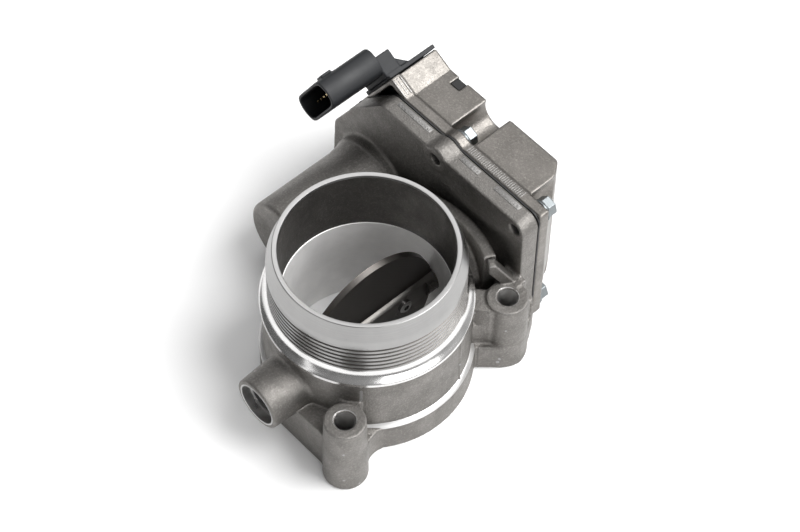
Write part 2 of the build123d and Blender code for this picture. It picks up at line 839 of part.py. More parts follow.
with BuildPart() as cover_screws:
    for y, z in screw_places:
        disc(side_plane(cover_flange_top, y, z), 4.1, 1.1)
        with BuildSketch(side_plane(cover_flange_top + 1.0, y, z)):
            RegularPolygon(3.8, 6)
        extrude(amount=4.0)
        disc(side_plane(cover_flange_top + 5.0, y, z), 2.4, -1.2, Mode.SUBTRACT)
        disc(side_plane(case_front + 1.5, y, z), screw_radius, cover_flange_top - case_front - 1.5)
save(cover_screws, "cover_screws")

# ================================================================ connector and electronics
socket_middle = (socket_near + socket_far) / 2


def socket_section(inset):
    """Section of the plug socket with crowned ends, shrunk by an inset."""
    near = socket_near + inset
    far = socket_far - inset
    shoulder_top = -0.2 - inset
    shoulder_bottom = socket_bottom + 2.6 + inset
    with BuildSketch() as section:
        with BuildLine():
            Line((near, shoulder_bottom), (near, shoulder_top))
            ThreePointArc((near, shoulder_top), (socket_middle, socket_crown - inset), (far, shoulder_top))
            Line((far, shoulder_top), (far, shoulder_bottom))
            ThreePointArc(
                (far, shoulder_bottom), (socket_middle, socket_bottom + inset), (near, shoulder_bottom)
            )
        make_face()
    return section.sketch


with BuildPart() as connector_housing:
    with BuildSketch(facet_plane(socket_start)):
        add(socket_section(0))
    extrude(amount=socket_end - socket_start)
    with BuildSketch(facet_plane(socket_end)):
        with Locations(((plate_thickness + 9.6) / 2, -9.8)):
            Rectangle(9.6 - plate_thickness, 20.0)
    extrude(amount=7.1)
    # flange plate on the side of the cover
    with BuildSketch(facet_plane(plate_start)):
        with Locations((plate_thickness / 2, plate_bottom / 2 + 0.15)):
            Rectangle(plate_thickness, 0.3 - plate_bottom)
    extrude(amount=cover_face - 0.2 - plate_start)
    # buttress from the block down to the plate
    with BuildSketch(facet_plane(socket_end + 7.1)):
        with Locations(((plate_thickness + 6.0) / 2, -9.8)):
            Rectangle(6.0 - plate_thickness, 18.0)
    with BuildSketch(facet_plane(socket_end + 11.2)):
        with Locations((plate_thickness + 0.1, -9.8)):
            Rectangle(0.2, 18.0)
    loft()
    # body that passes through the cover
    with BuildSketch(facet_plane(connector_x - 6.8)):
        with Locations((-3.0, -12.0)):
            Rectangle(6.0, 15.6)
    extrude(amount=13.6)
    # latch bump on the far side of the socket
    with BuildSketch(facet_plane(37.0)):
        with Locations((socket_far, -4.0)):
            Rectangle(2.4, 5.0)
    extrude(amount=4.2)
    with BuildSketch(facet_plane(socket_start)):
        add(socket_section(socket_wall))
    extrude(amount=20.0, mode=Mode.SUBTRACT)
save(connector_housing, "connector_housing")

with BuildPart() as connector_pins:
    with BuildSketch(facet_plane(38.0)):
        with Locations(*[(socket_middle, -3.0 - 3.4 * index) for index in range(pin_count)]):
            Rectangle(0.7, 1.5)
    extrude(amount=socket_start + 20.0 - 38.0)
save(connector_pins, "connector_pins")

board_start = sector_end + 1.5
board_thickness = 1.2
frame_start = 75.4
frame_end = cover_face - cover_front_wall

with BuildPart() as lead_frame:
    with BuildSketch(side_plane(frame_start)):
        with BuildLine():
            Polyline(
                (-11.0, 14.0),
                (-11.0, 48.5),
                (7.0, 48.5),
                (9.0, 47.0),
                (27.0, 47.0),
                (32.0, 52.0),
                (44.0, 54.0),
                (51.0, 40.0),
                (55.0, 29.0),
                (61.0, 27.0),
                (61.0, 6.0),
                (57.0, 6.0),
                (57.0, 22.0),
                (51.0, 26.0),
                (45.0, 40.0),
                (-3.0, 40.0),
                (-3.0, 14.0),
                close=True,
            )
        make_face()
    extrude(amount=frame_end - frame_start)
    # tab that shows in the cover's window
    with BuildSketch(side_plane(frame_start + 0.5)):
        with Locations((window_y, 55.5)):
            Rectangle(window_width - 0.4, 10.6)
    extrude(amount=frame_end - frame_start - 0.5)
    with BuildSketch(side_plane(frame_end - 0.5)):
        with Locations((window_y, case_top - 1.8)):
            Rectangle(window_width - 0.4, 2.0)
    extrude(amount=cover_face - 0.3 - frame_end)
    # post that carries the sensor board
    with BuildSketch(side_plane(board_start + board_thickness)):
        with Locations((-8.5, shaft_height)):
            Rectangle(5.0, 15.0)
    extrude(amount=frame_start - board_start - board_thickness)
save(lead_frame, "lead_frame")

with BuildPart() as sensor_board:
    with BuildSketch(side_plane(board_start)):
        with Locations((-3.0, shaft_height)):
            RectangleRounded(17.0, 17.0, 1.5)
    extrude(amount=board_thickness)
save(sensor_board, "sensor_board")

with BuildPart() as motor_terminals:
    with BuildSketch(side_plane(case_floor)):
        with Locations((motor_y + 9.0, motor_z + 9.0), (motor_y + 9.0, motor_z - 9.0)):
            Rectangle(2.4, 0.8)
    extrude(amount=frame_start - case_floor)
save(motor_terminals, "motor_terminals")
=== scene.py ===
"""Looks of the electric throttle body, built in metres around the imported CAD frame.

Castings and mouldings are modelled as signed distance fields in millimetres, so that every
inside corner gets the fillet of a real casting, and are then turned into meshes. Turned
surfaces are lathed. +Z runs along the bore, +X to the gear case, +Y to the motor.
"""

import math

import bmesh
import bpy
import numpy as np
import openvdb
from mathutils import Matrix, Vector


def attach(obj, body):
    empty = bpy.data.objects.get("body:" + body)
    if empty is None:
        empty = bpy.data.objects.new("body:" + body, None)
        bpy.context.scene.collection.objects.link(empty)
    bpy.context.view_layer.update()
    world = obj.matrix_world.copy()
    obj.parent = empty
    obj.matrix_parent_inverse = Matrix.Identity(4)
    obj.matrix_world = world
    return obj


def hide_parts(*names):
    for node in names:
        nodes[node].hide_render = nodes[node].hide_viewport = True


MM = 0.001
X, Z = 0, 2  # axes
FAR = 9.0  # mm, stands for every distance further from a surface

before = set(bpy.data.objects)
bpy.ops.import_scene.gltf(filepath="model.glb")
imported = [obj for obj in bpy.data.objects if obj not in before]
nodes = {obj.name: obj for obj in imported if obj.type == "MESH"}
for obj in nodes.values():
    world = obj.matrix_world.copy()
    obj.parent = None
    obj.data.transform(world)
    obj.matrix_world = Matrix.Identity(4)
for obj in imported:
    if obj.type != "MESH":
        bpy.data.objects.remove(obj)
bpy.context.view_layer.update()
scene = bpy.context.scene


# ---------------------------------------------------------------- distance fields
def smooth_min(a, b, width):
    """The smaller of two distances, blended over a width where they are nearly equal."""
    if width <= 0:
        return np.minimum(a, b)
    share = np.maximum(width - np.abs(a - b), 0) / width
    return np.minimum(a, b) - share * share * width * 0.25


class Field:
    """Distances in millimetres on a regular grid, negative inside the solid."""

    def __init__(self, low, high, step):
        self.step = step
        self.low = np.array(low, float)
        counts = np.ceil((np.array(high, float) - self.low) / step).astype(int) + 1
        self.axes = [self.low[i] + step * np.arange(counts[i]) for i in range(3)]
        self.distance = np.full(counts, FAR, np.float32)

    def _window(self, box, margin):
        """The grid's part within a margin of a box, and its coordinates."""
        ranges = []
        for axis, low, high in zip(self.axes, box[0], box[1]):
            start = max(0, int(np.searchsorted(axis, low - margin)))
            stop = min(len(axis), int(np.searchsorted(axis, high + margin)))
            ranges.append(slice(start, max(stop, start)))
        x = self.axes[0][ranges[0]][:, None, None]
        y = self.axes[1][ranges[1]][None, :, None]
        z = self.axes[2][ranges[2]][None, None, :]
        return tuple(ranges), x, y, z

    def add(self, shape, fillet=0.0):
        """Join a shape on. The fillet fills the corner that it makes with what is there."""
        box, function = shape
        window, x, y, z = self._window(box, fillet + 2.0)
        here = self.distance[window]
        self.distance[window] = smooth_min(here, function(x, y, z), fillet)

    def cut(self, shape, fillet=0.0):
        """Take a shape away. The fillet rounds the edge that this leaves."""
        box, function = shape
        window, x, y, z = self._window(box, fillet + 2.0)
        here = self.distance[window]
        self.distance[window] = -smooth_min(-here, function(x, y, z), fillet)

    def mesh(self, name, place=Matrix.Identity(4)):
        """The zero surface as a smooth quad mesh in metres."""
        grid = openvdb.FloatGrid(FAR)
        grid.copyFromArray(np.clip(self.distance, -FAR, FAR).astype(float))
        points, quads = grid.convertToQuads(0.0)
        points = (points * self.step + self.low) * MM
        mesh = bpy.data.meshes.new(name)
        mesh.vertices.add(len(points))
        mesh.vertices.foreach_set("co", points.astype(np.float32).ravel())
        mesh.loops.add(4 * len(quads))
        mesh.loops.foreach_set("vertex_index", quads[:, ::-1].astype(np.int32).ravel())
        mesh.polygons.add(len(quads))
        mesh.polygons.foreach_set("loop_start", np.arange(0, 4 * len(quads), 4, dtype=np.int32))
        mesh.update(calc_edges=True)
        mesh.validate()
        mesh.transform(place)
        tidy = bmesh.new()
        tidy.from_mesh(mesh)
        bmesh.ops.recalc_face_normals(tidy, faces=tidy.faces)
        tidy.to_mesh(mesh)
        tidy.free()
        mesh.polygons.foreach_set("use_smooth", np.ones(len(mesh.polygons), bool))
        piece = bpy.data.objects.new(name, mesh)
        scene.collection.objects.link(piece)
        return piece


def _capped(radial, axial, rounding):
    """Solid of the points inside both distances, with its edge rounded."""
    a = radial + rounding
    b = axial + rounding
    outside = np.sqrt(np.maximum(a, 0) ** 2 + np.maximum(b, 0) ** 2)
    return outside + np.minimum(np.maximum(a, b), 0) - rounding


def rod(axis, centre, radius, start, stop, rounding=0.0, end_radius=None):
    """Round bar or cone along an axis. centre holds the other two coordinates."""
    far_radius = radius if end_radius is None else end_radius
    others = [i for i in range(3) if i != axis]
    reach = max(radius, far_radius)
    low = [0.0, 0.0, 0.0]
    high = [0.0, 0.0, 0.0]
    low[axis], high[axis] = start, stop
    for i, c in zip(others, centre):
        low[i], high[i] = c - reach, c + reach
    slope = (far_radius - radius) / (stop - start)
    cosine = 1 / math.hypot(1, slope)

    def function(*xyz):
        along = xyz[axis]
        away = np.sqrt((xyz[others[0]] - centre[0]) ** 2 + (xyz[others[1]] - centre[1]) ** 2)
        radial = (away - radius - slope * (along - start)) * cosine
        axial = np.abs(along - (start + stop) / 2) - (stop - start) / 2
        return _capped(radial, axial, rounding)

    return (low, high), function


def polygon_distance(u, v, points):
    """Signed distance in a plane to a closed outline."""
    nearest = np.full(np.broadcast(u, v).shape, 1e9)
    inside = np.zeros(nearest.shape, bool)
    for (u0, v0), (u1, v1) in zip(points, points[1:] + points[:1]):
        du, dv = u1 - u0, v1 - v0
        share = np.clip(((u - u0) * du + (v - v0) * dv) / (du * du + dv * dv), 0, 1)
        gap = (u - u0 - share * du) ** 2 + (v - v0 - share * dv) ** 2
        nearest = np.minimum(nearest, gap)
        if v0 != v1:
            crosses = ((v0 > v) != (v1 > v)) & (u < du * (v - v0) / dv + u0)
            inside ^= crosses
    return np.where(inside, -1, 1) * np.sqrt(nearest)


def prism(axis, points, start, stop, rounding=0.0, corner=0.0):
    """Outline drawn square to an axis and stretched along it. corner rounds the outline."""
    others = [i for i in range(3) if i != axis]
    low = [0.0, 0.0, 0.0]
    high = [0.0, 0.0, 0.0]
    low[axis], high[axis] = start, stop
    for i, k in zip(others, (0, 1)):
        low[i] = min(p[k] for p in points)
        high[i] = max(p[k] for p in points)
    core = inset(points, corner) if corner else points

    def function(*xyz):
        flat = polygon_distance(xyz[others[0]], xyz[others[1]], core) - corner
        axial = np.abs(xyz[axis] - (start + stop) / 2) - (stop - start) / 2
        return _capped(flat, axial, rounding)

    return (low, high), function


def inset(points, amount):
    """Outline moved inwards by an amount, corner by corner."""
    turn = sum(a[0] * b[1] - b[0] * a[1] for a, b in zip(points, points[1:] + points[:1]))
    side = 1 if turn > 0 else -1
    moved = []
    count = len(points)
    for i in range(count):
        before, here, after = points[i - 1], points[i], points[(i + 1) % count]
        ax, ay = here[0] - before[0], here[1] - before[1]
        bx, by = after[0] - here[0], after[1] - here[1]
        al, bl = math.hypot(ax, ay), math.hypot(bx, by)
        nx, ny = -ay / al * side, ax / al * side
        mx, my = -by / bl * side, bx / bl * side
        scale = amount / (1 + nx * mx + ny * my)
        moved.append((here[0] + (nx + mx) * scale, here[1] + (ny + my) * scale))
    return moved


def half_space(normal, offset, box):
    """Everything on the far side of a plane, inside a box."""
    length = math.sqrt(sum(c * c for c in normal))

    def function(x, y, z):
        along = x * normal[0] + y * normal[1] + z * normal[2]
        return (offset - along) / length

    return box, function


# ---------------------------------------------------------------- lathe and plain mesh helpers
def shade_by_angle(piece, degrees=32):
    mesh = piece.data
    mesh.polygons.foreach_set("use_smooth", np.ones(len(mesh.polygons), bool))
    mesh.set_sharp_from_angle(angle=math.radians(degrees))


def lathe(name, profile, segments, place=Matrix.Identity(4)):
    """Closed profile of (radius, height) in millimetres, turned about Z."""
    work = bmesh.new()
    rings = []
    for radius, height in profile:
        ring = []
        for i in range(segments):
            angle = 2 * math.pi * i / segments
            ring.append(
                work.verts.new(
                    (radius * MM * math.cos(angle), radius * MM * math.sin(angle), height * MM)
                )
            )
        rings.append(ring)
    for ring, following in zip(rings, rings[1:] + rings[:1]):
        for i in range(segments):
            j = (i + 1) % segments
            work.faces.new((ring[i], ring[j], following[j], following[i]))
    bmesh.ops.recalc_face_normals(work, faces=work.faces)
    mesh = bpy.data.meshes.new(name)
    work.to_mesh(mesh)
    work.free()
    mesh.transform(place)
    piece = bpy.data.objects.new(name, mesh)
    scene.collection.objects.link(piece)
    return piece


def bake_modifiers(piece):
    """Replace the piece's mesh by its evaluated one."""
    graph = bpy.context.evaluated_depsgraph_get()
    mesh = bpy.data.meshes.new_from_object(piece.evaluated_get(graph))
    piece.modifiers.clear()
    piece.data = mesh


def cut_with(piece, cutters):
    for cutter in cutters:
        modifier = piece.modifiers.new("cut", "BOOLEAN")
        modifier.operation = "DIFFERENCE"
        modifier.solver = "EXACT"
        modifier.object = cutter
    bake_modifiers(piece)
    for cutter in cutters:
        bpy.data.objects.remove(cutter)


def along_x(y, z):
    """Places a lathed piece with its axis along +X, through (y, z) in millimetres."""
    turn = Matrix.Rotation(math.radians(90), 4, "Y")
    return Matrix.Translation(Vector((0, y, z)) * MM) @ turn


# ---------------------------------------------------------------- materials
def new_material(name):
    material = bpy.data.materials.new(name)
    material.use_nodes = True
    tree = material.node_tree
    shader = tree.nodes["Principled BSDF"]
    return material, tree, shader


def node(tree, kind, inputs=None, **settings):
    made = tree.nodes.new(kind)
    for key, value in settings.items():
        setattr(made, key, value)
    for key, value in (inputs or {}).items():
        if isinstance(value, bpy.types.NodeSocket):
            tree.links.new(value, made.inputs[key])
        else:
            made.inputs[key].default_value = value
    return made


def noise(tree, vector, scale, detail=3.0, rough=0.55):
    made = node(
        tree,
        "ShaderNodeTexNoise",
        {"Vector": vector, "Scale": scale, "Detail": detail, "Roughness": rough},
    )
    return made.outputs["Fac"]


def ramp(tree, value, low, high, out_low=0.0, out_high=1.0):
    made = node(
        tree,
        "ShaderNodeMapRange",
        {"Value": value, "From Min": low, "From Max": high, "To Min": out_low, "To Max": out_high},
    )
    return made.outputs["Result"]


def mix_colour(tree, factor, a, b):
    made = tree.nodes.new("ShaderNodeMix")
    made.data_type = "RGBA"
    for socket, value in (("Factor", factor), ("A", a), ("B", b)):
        target = [s for s in made.inputs if s.name == socket and s.type in ("RGBA", "VALUE")]
        target = target[-1] if socket != "Factor" else target[0]
        if isinstance(value, bpy.types.NodeSocket):
            tree.links.new(value, target)
        else:
            target.default_value = value
    return [s for s in made.outputs if s.type == "RGBA"][0]


def bump(tree, height, distance, strength, normal=None):
    inputs = {"Height": height, "Distance": distance, "Strength": strength}
    if normal is not None:
        inputs["Normal"] = normal
    return node(tree, "ShaderNodeBump", inputs).outputs["Normal"]


def colour(level, warmth=(1.0, 1.0, 1.0)):
    return (level * warmth[0], level * warmth[1], level * warmth[2], 1.0)


def cast_metal(name, level, warmth, grain=1.0, roughness=(0.42, 0.62)):
    """Sand or die cast aluminium: fine grain, cloudy tone, edges rubbed bright."""
    material, tree, shader = new_material(name)
    where = node(tree, "ShaderNodeTexCoord").outputs["Object"]
    clouds = noise(tree, where, 110.0, 5.0, 0.65)
    speckle = noise(tree, where, 1300.0, 2.0, 0.7)
    grains = noise(tree, where, 2200.0, 3.0, 0.6)
    pits = node(tree, "ShaderNodeTexVoronoi", {"Vector": where, "Scale": 1400.0}).outputs["Distance"]
    edge = node(tree, "ShaderNodeNewGeometry").outputs["Pointiness"]
    dark = colour(level * 0.84, warmth)
    light = colour(level * 1.08, warmth)
    tone = mix_colour(tree, ramp(tree, clouds, 0.3, 0.72), dark, light)
    tone = mix_colour(tree, ramp(tree, speckle, 0.5, 0.72, 0.0, 0.42), tone, colour(level * 1.9, warmth))
    tone = mix_colour(tree, ramp(tree, edge, 0.53, 0.62, 0.0, 0.7), tone, colour(level * 2.0))
    tree.links.new(tone, shader.inputs["Base Color"])
    shader.inputs["Metallic"].default_value = 1.0
    rough = ramp(tree, clouds, 0.3, 0.7, roughness[1], roughness[0])
    tree.links.new(rough, shader.inputs["Roughness"])
    fine = bump(tree, grains, 0.0001 * grain, 1.0)
    coarse = bump(tree, speckle, 0.00016 * grain, 0.9, fine)
    pitted = bump(tree, pits, 0.00004 * grain, 0.6, coarse)
    tree.links.new(pitted, shader.inputs["Normal"])
    return material


def turned_metal(name, level, warmth, roughness, ring_scale, ring_depth, axis="Z", spin=0.0, metal=1.0):
    """Machined metal with fine tool rings about an axis."""
    material, tree, shader = new_material(name)
    where = node(tree, "ShaderNodeTexCoord").outputs["Object"]
    parts = node(tree, "ShaderNodeSeparateXYZ", {0: where})
    order = {"X": ("Y", "Z", "X"), "Y": ("X", "Z", "Y"), "Z": ("X", "Y", "Z")}[axis]
    flat = node(
        tree,
        "ShaderNodeCombineXYZ",
        {"X": parts.outputs[order[0]], "Y": parts.outputs[order[1]]},
    ).outputs[0]
    away = node(tree, "ShaderNodeVectorMath", {0: flat}, operation="LENGTH").outputs["Value"]
    along = node(
        tree, "ShaderNodeMath", {0: away, 1: parts.outputs[order[2]]}, operation="ADD"
    ).outputs[0]
    rings = node(
        tree,
        "ShaderNodeTexNoise",
        {"W": along, "Scale": ring_scale, "Detail": 4.0, "Roughness": 0.7},
        noise_dimensions="1D",
    ).outputs["Fac"]
    haze = noise(tree, where, 90.0, 3.0)
    tone = mix_colour(
        tree, ramp(tree, haze, 0.3, 0.7), colour(level * 0.88, warmth), colour(level * 1.06, warmth)
    )
    tone = mix_colour(tree, ramp(tree, rings, 0.35, 0.65, 0.0, 0.25), tone, colour(level * 0.6, warmth))
    tree.links.new(tone, shader.inputs["Base Color"])
    shader.inputs["Metallic"].default_value = metal
    tree.links.new(
        ramp(tree, haze, 0.3, 0.7, roughness * 0.8, roughness * 1.25), shader.inputs["Roughness"]
    )
    if spin:
        tangent = node(tree, "ShaderNodeTangent", direction_type="RADIAL", axis=axis)
        tree.links.new(tangent.outputs[0], shader.inputs["Tangent"])
        shader.inputs["Anisotropic"].default_value = spin
    tree.links.new(bump(tree, rings, ring_depth, 0.8), shader.inputs["Normal"])
    return material


def plastic(name, tint, roughness, grain_scale=1500.0, grain=0.00003, wear=0.25):
    """Moulded plastic with a fine spark-eroded grain and slightly paler edges."""
    material, tree, shader = new_material(name)
    where = node(tree, "ShaderNodeTexCoord").outputs["Object"]
    clouds = noise(tree, where, 80.0, 3.0)
    grains = noise(tree, where, grain_scale, 2.0, 0.6)
    edge = node(tree, "ShaderNodeNewGeometry").outputs["Pointiness"]
    pale = tuple(min(1.0, c * 2.2 + 0.03) for c in tint) + (1.0,)
    dark = tuple(c * 0.8 for c in tint) + (1.0,)
    tone = mix_colour(tree, ramp(tree, clouds, 0.3, 0.7), dark, tuple(tint) + (1.0,))
    tone = mix_colour(tree, ramp(tree, edge, 0.52, 0.6, 0.0, wear), tone, pale)
    tree.links.new(tone, shader.inputs["Base Color"])
    tree.links.new(
        ramp(tree, clouds, 0.3, 0.7, roughness * 0.85, roughness * 1.1), shader.inputs["Roughness"]
    )
    tree.links.new(bump(tree, grains, grain, 0.7), shader.inputs["Normal"])
    return material


WARM = (1.0, 0.955, 0.90)
NEUTRAL = (1.0, 0.99, 0.98)
BLUISH = (0.90, 0.97, 1.0)

looks = {
    "cast": cast_metal("cast_aluminium", 0.205, WARM, grain=1.2),
    "cover": cast_metal("cover_aluminium", 0.195, (1.0, 0.94, 0.87), grain=0.8, roughness=(0.33, 0.47)),
    # the cast bore wall is darker than the outer casting: painted shade inside the bore
    "bore": cast_metal("bore_wall", 0.16, WARM, grain=0.8, roughness=(0.45, 0.62)),
    "turned": turned_metal("turned_aluminium", 0.36, NEUTRAL, 0.33, 5000.0, 0.000012, spin=0.25),
    "polished": turned_metal("polished_aluminium", 0.76, NEUTRAL, 0.19, 5000.0, 0.000006, spin=0.2),
    "rim": turned_metal("rim_aluminium", 0.44, NEUTRAL, 0.36, 3000.0, 0.00001),
    "satin": turned_metal("satin_aluminium", 0.60, NEUTRAL, 0.36, 3000.0, 0.00002, metal=0.8),
    # the groove look is painted dark: painted shade in the spigot's grooves
    "groove": turned_metal("groove_painted_shade", 0.17, WARM, 0.45, 5000.0, 0.00001),
    # the bored wall is painted pale and barely metallic: a painted reflection of the lit floor and lamps
    "bored": turned_metal("bored_painted_reflection", 0.92, NEUTRAL, 0.42, 4000.0, 0.00001, spin=0.2, metal=0.25),
    "drilled": turned_metal("drilled_aluminium", 0.55, NEUTRAL, 0.30, 6000.0, 0.00001),
    "flap": turned_metal("flap_metal", 0.13, (1.0, 0.93, 0.87), 0.34, 1500.0, 0.000008),
    "shaft": turned_metal("shaft_steel", 0.15, WARM, 0.30, 6000.0, 0.000002, axis="X", spin=0.3),
    "screw": turned_metal("screw_steel", 0.50, NEUTRAL, 0.22, 5000.0, 0.000006),
    "steel": turned_metal("bearing_steel", 0.50, NEUTRAL, 0.20, 5000.0, 0.000005, axis="X", spin=0.3),
    "plug": turned_metal("plug_steel", 0.34, NEUTRAL, 0.34, 3000.0, 0.000012, axis="X", spin=0.2),
    "zinc": turned_metal("zinc_steel", 0.25, BLUISH, 0.32, 2500.0, 0.000008, axis="X"),
    "magnet": cast_metal("magnet", 0.07, NEUTRAL),
    "rotor": cast_metal("rotor_steel", 0.20, (1.0, 0.85, 0.7)),
    "brass": turned_metal("brass", 0.62, (1.0, 0.78, 0.42), 0.24, 3000.0, 0.000005, axis="X"),
    "black": plastic("black_plastic", (0.0065, 0.0078, 0.0100), 0.58, wear=0.1),
    "rubber": plastic("rubber", (0.012, 0.012, 0.012), 0.62, 900.0, 0.00005, 0.1),
    "nylon": plastic("gear_plastic", (0.68, 0.63, 0.52), 0.45),
    "dark_nylon": plastic("bush_plastic", (0.04, 0.04, 0.04), 0.5),
    "carbon": plastic("carbon", (0.02, 0.02, 0.02), 0.7),
    "board": plastic("circuit_board", (0.02, 0.12, 0.05), 0.4),
}

node_looks = {
    "throttle_flap": "flap",
    "throttle_shaft": "shaft",
    "flap_screws": "screw",
    "strap_screws": "screw",
    "drive_bearing": "steel",
    "needle_bearing": "steel",
    "shaft_seal": "rubber",
    "flange_seal": "rubber",
    "cover_gasket": "rubber",
    "bearing_plug": "plug",
    "sector_gear": "nylon",
    "idler_gear": "nylon",
    "position_magnet": "magnet",
    "motor_magnets": "magnet",
    "return_spring": "steel",
    "motor_wave_spring": "steel",
    "spring_bush": "dark_nylon",
    "motor_end_bell": "dark_nylon",
    "stop_pins": "steel",
    "idler_pin": "steel",
    "motor_can": "steel",
    "motor_strap": "steel",
    "motor_rotor": "rotor",
    "motor_brushes": "carbon",
    "motor_pinion": "brass",
    "motor_terminals": "brass",
    "connector_pins": "brass",
    "lead_frame": "rubber",
    "sensor_board": "board",
}


def dress(piece, look):
    piece.data.materials.clear()
    piece.data.materials.append(looks[look])


for name, look in node_looks.items():
    dress(nodes[name], look)
    shade_by_angle(nodes[name])


def carry(piece, look, slot_name, *replaced, body="housing"):
    """Give a finished piece its material, its body and the CAD nodes it stands for."""
    if look:
        dress(piece, look)
    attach(piece, body)
    if replaced:
        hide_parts(*replaced)


# ---------------------------------------------------------------- sizes shared by the pieces, mm
CASTING_GRID = 0.42
COVER_GRID = 0.38
SCREW_GRID = 0.16
SOCKET_GRID = 0.32
SHAFT_Z = 22.4  # height of the flap shaft, which lies along X
BORE_RADIUS = 30.75
CAST_BORE_RADIUS = 31.0
SPIGOT_RADIUS = 35.4
SPIGOT_TOP = 68.9
FLANGE_HEIGHT = 12.8
CASE_TOP = 61.5
CASE_FACE = 57.2
COVER_FACE = 80.4
# mounting bosses as (x, y), cover screws and motor axis as (y, z)
BOSSES = [(-37.6, -30.65), (40.0, -30.65), (40.0, 30.65)]
BOSS_TOP = 33.5
SCREWS = [(18.3, 58.3), (-22.6, 57.2), (-22.4, 4.8), (69.8, 6.4), (64.5, 36.0)]
MOTOR = (51.0, 17.0)
# outlines of the gear case and its cover as (y, z); the plug's facet is tilted from the crest down
LOWER_END = [(74.2, 28.0), (75.2, 8.5), (70.9, 0.2)]
CASE_OUTLINE = [(-27.0, 0.2), (-27.0, CASE_TOP), (48.0, CASE_TOP), (64.0, 45.0), *LOWER_END]
FACET = math.radians(30.0)
CREST = (52.3, 65.9)
FACET_LENGTH = 26.0
FACET_LOW = (CREST[0] + FACET_LENGTH * math.sin(FACET), CREST[1] - FACET_LENGTH * math.cos(FACET))
SLOPE_START = 43.6
COVER_OUTLINE = [(-27.0, 0.2), (-27.0, CASE_TOP), (SLOPE_START, CASE_TOP), CREST, FACET_LOW, *LOWER_END]

# ---------------------------------------------------------------- housing casting
casting = Field((-54.5, -41.0, -1.5), (59.0, 78.0, 63.5), CASTING_GRID)
casting.add(rod(Z, (0, 0), 37.9, 0.0, 40.6, 0.3, end_radius=37.5))
casting.add(rod(Z, (0, 0), 39.25, 0.0, FLANGE_HEIGHT, 0.2))
# parting lines down the barrel, below the collar: angles about Z, section as (radius, side)
PARTING_ANGLES = (-71.0, 109.0)
PARTING_RIDGE = [(36.9, -0.45), (38.35, -0.28), (38.35, 0.28), (36.9, 0.45)]
for angle in PARTING_ANGLES:
    along, across = math.cos(math.radians(angle)), math.sin(math.radians(angle))
    outline = [(r * along - t * across, r * across + t * along) for r, t in PARTING_RIDGE]
    casting.add(prism(Z, outline, 12.0, 39.2, 0.1), 0.5)
# bearing boss of the free shaft end
casting.add(rod(X, (0, SHAFT_Z), 10.15, -52.15, -20.0, 0.7, end_radius=11.8), 2.0)
# flange foot and webs: outline seen from above, height, fillet to what they stand against
FOOT_LEFT = [(-36.0, -36.5), (-31.5, -34.4), (-27.5, -32.8), (-23.0, -32.0), (-30.0, -20.0)]
FOOT_RIGHT = [
    (27.0, -30.5), (33.0, -36.0), (40.0, -38.8), (46.0, -36.2), (54.5, -30.5),
    (CASE_FACE, -27.0), (CASE_FACE, 20.0), (30.0, 20.0),
]
FOOT_BACK = [(8.0, 30.0), (8.0, 44.0), (50.0, 44.0), (50.0, 10.0)]
WEB_LEFT = [(-42.5, 0.0), (-42.3, -30.0), (-30.0, -30.0), (-30.0, 0.0)]
BLOCK_LEFT = [(-36.0, -30.0), (-30.5, -31.0), (-24.5, -24.5), (-30.0, -18.0)]
WEB_RIGHT = [(24.0, -26.0), (33.0, -31.0), (40.0, -30.0), (50.0, -33.0), (50.0, -12.0), (30.0, -12.0)]
WALL_RIGHT = [(26.0, -24.0), (31.2, -31.0), (38.0, -33.0), (40.0, -26.0), (33.0, -18.0)]
CASE_WALL = [(45.0, -30.0), (50.0, -30.0), (50.0, -20.0), (46.5, -20.0)]
WEBS = [
    (WEB_LEFT, 20.6, 0.6),
    (FOOT_LEFT, FLANGE_HEIGHT, 2.6),
    (BLOCK_LEFT, 29.0, 0.7),
    (FOOT_RIGHT, FLANGE_HEIGHT, 2.4),
    (WEB_RIGHT, 24.0, 1.2),
    (WALL_RIGHT, 32.6, 0.9),
    (CASE_WALL, BOSS_TOP, 0.6),
    (FOOT_BACK, FLANGE_HEIGHT, 2.0),
]
for outline, height, fillet in WEBS:
    casting.add(prism(Z, outline, 0.0, height, 0.5), fillet)
for place in BOSSES:
    casting.add(rod(Z, place, 8.3, 0.0, BOSS_TOP, 0.45, end_radius=7.6), 1.2)
# bearing boss on the drive side
casting.add(rod(X, (0, SHAFT_Z), 16.5, 20.0, 50.5, 0.3, end_radius=17.5), 2.4)
# curved rib between the spigot and the gear case
RIB_BOX = ((20.0, -30.0, 0.0), (49.0, 36.0, 45.0))
RIB_RADIUS = 45.75
RIB_HALF_WIDTH = 2.25
RIB_HALF_HEIGHT = 22.5
RIB_START = math.radians(25)
RIB_END_SLOPE = 0.6


def rib_ring(x, y, z):
    radial = np.abs(np.sqrt(x * x + y * y) - RIB_RADIUS) - RIB_HALF_WIDTH
    start = -(x * math.sin(RIB_START) + y * math.cos(RIB_START))
    wedge = np.maximum(start, y - RIB_END_SLOPE * x)
    axial = np.abs(z - RIB_HALF_HEIGHT) - RIB_HALF_HEIGHT
    return _capped(np.maximum(radial, wedge), axial, 0.7)


casting.add((RIB_BOX, rib_ring), 1.6)
# sloped wall from the end of the rib down to the mounting boss
RAMP_BOX = ((35.0, -30.0, 0.0), (50.5, -17.0, 45.5))
RAMP_START = (41.2, -22.2)
RAMP_WAY = (0.85, -0.527)
RAMP_HALF_WIDTH = 2.0
RAMP_SECTION = [
    (-2.5, 45.0), (0.0, 45.0), (7.2, BOSS_TOP), (9.5, BOSS_TOP), (9.5, 28.5), (6.0, 28.5), (-2.5, 40.5),
]


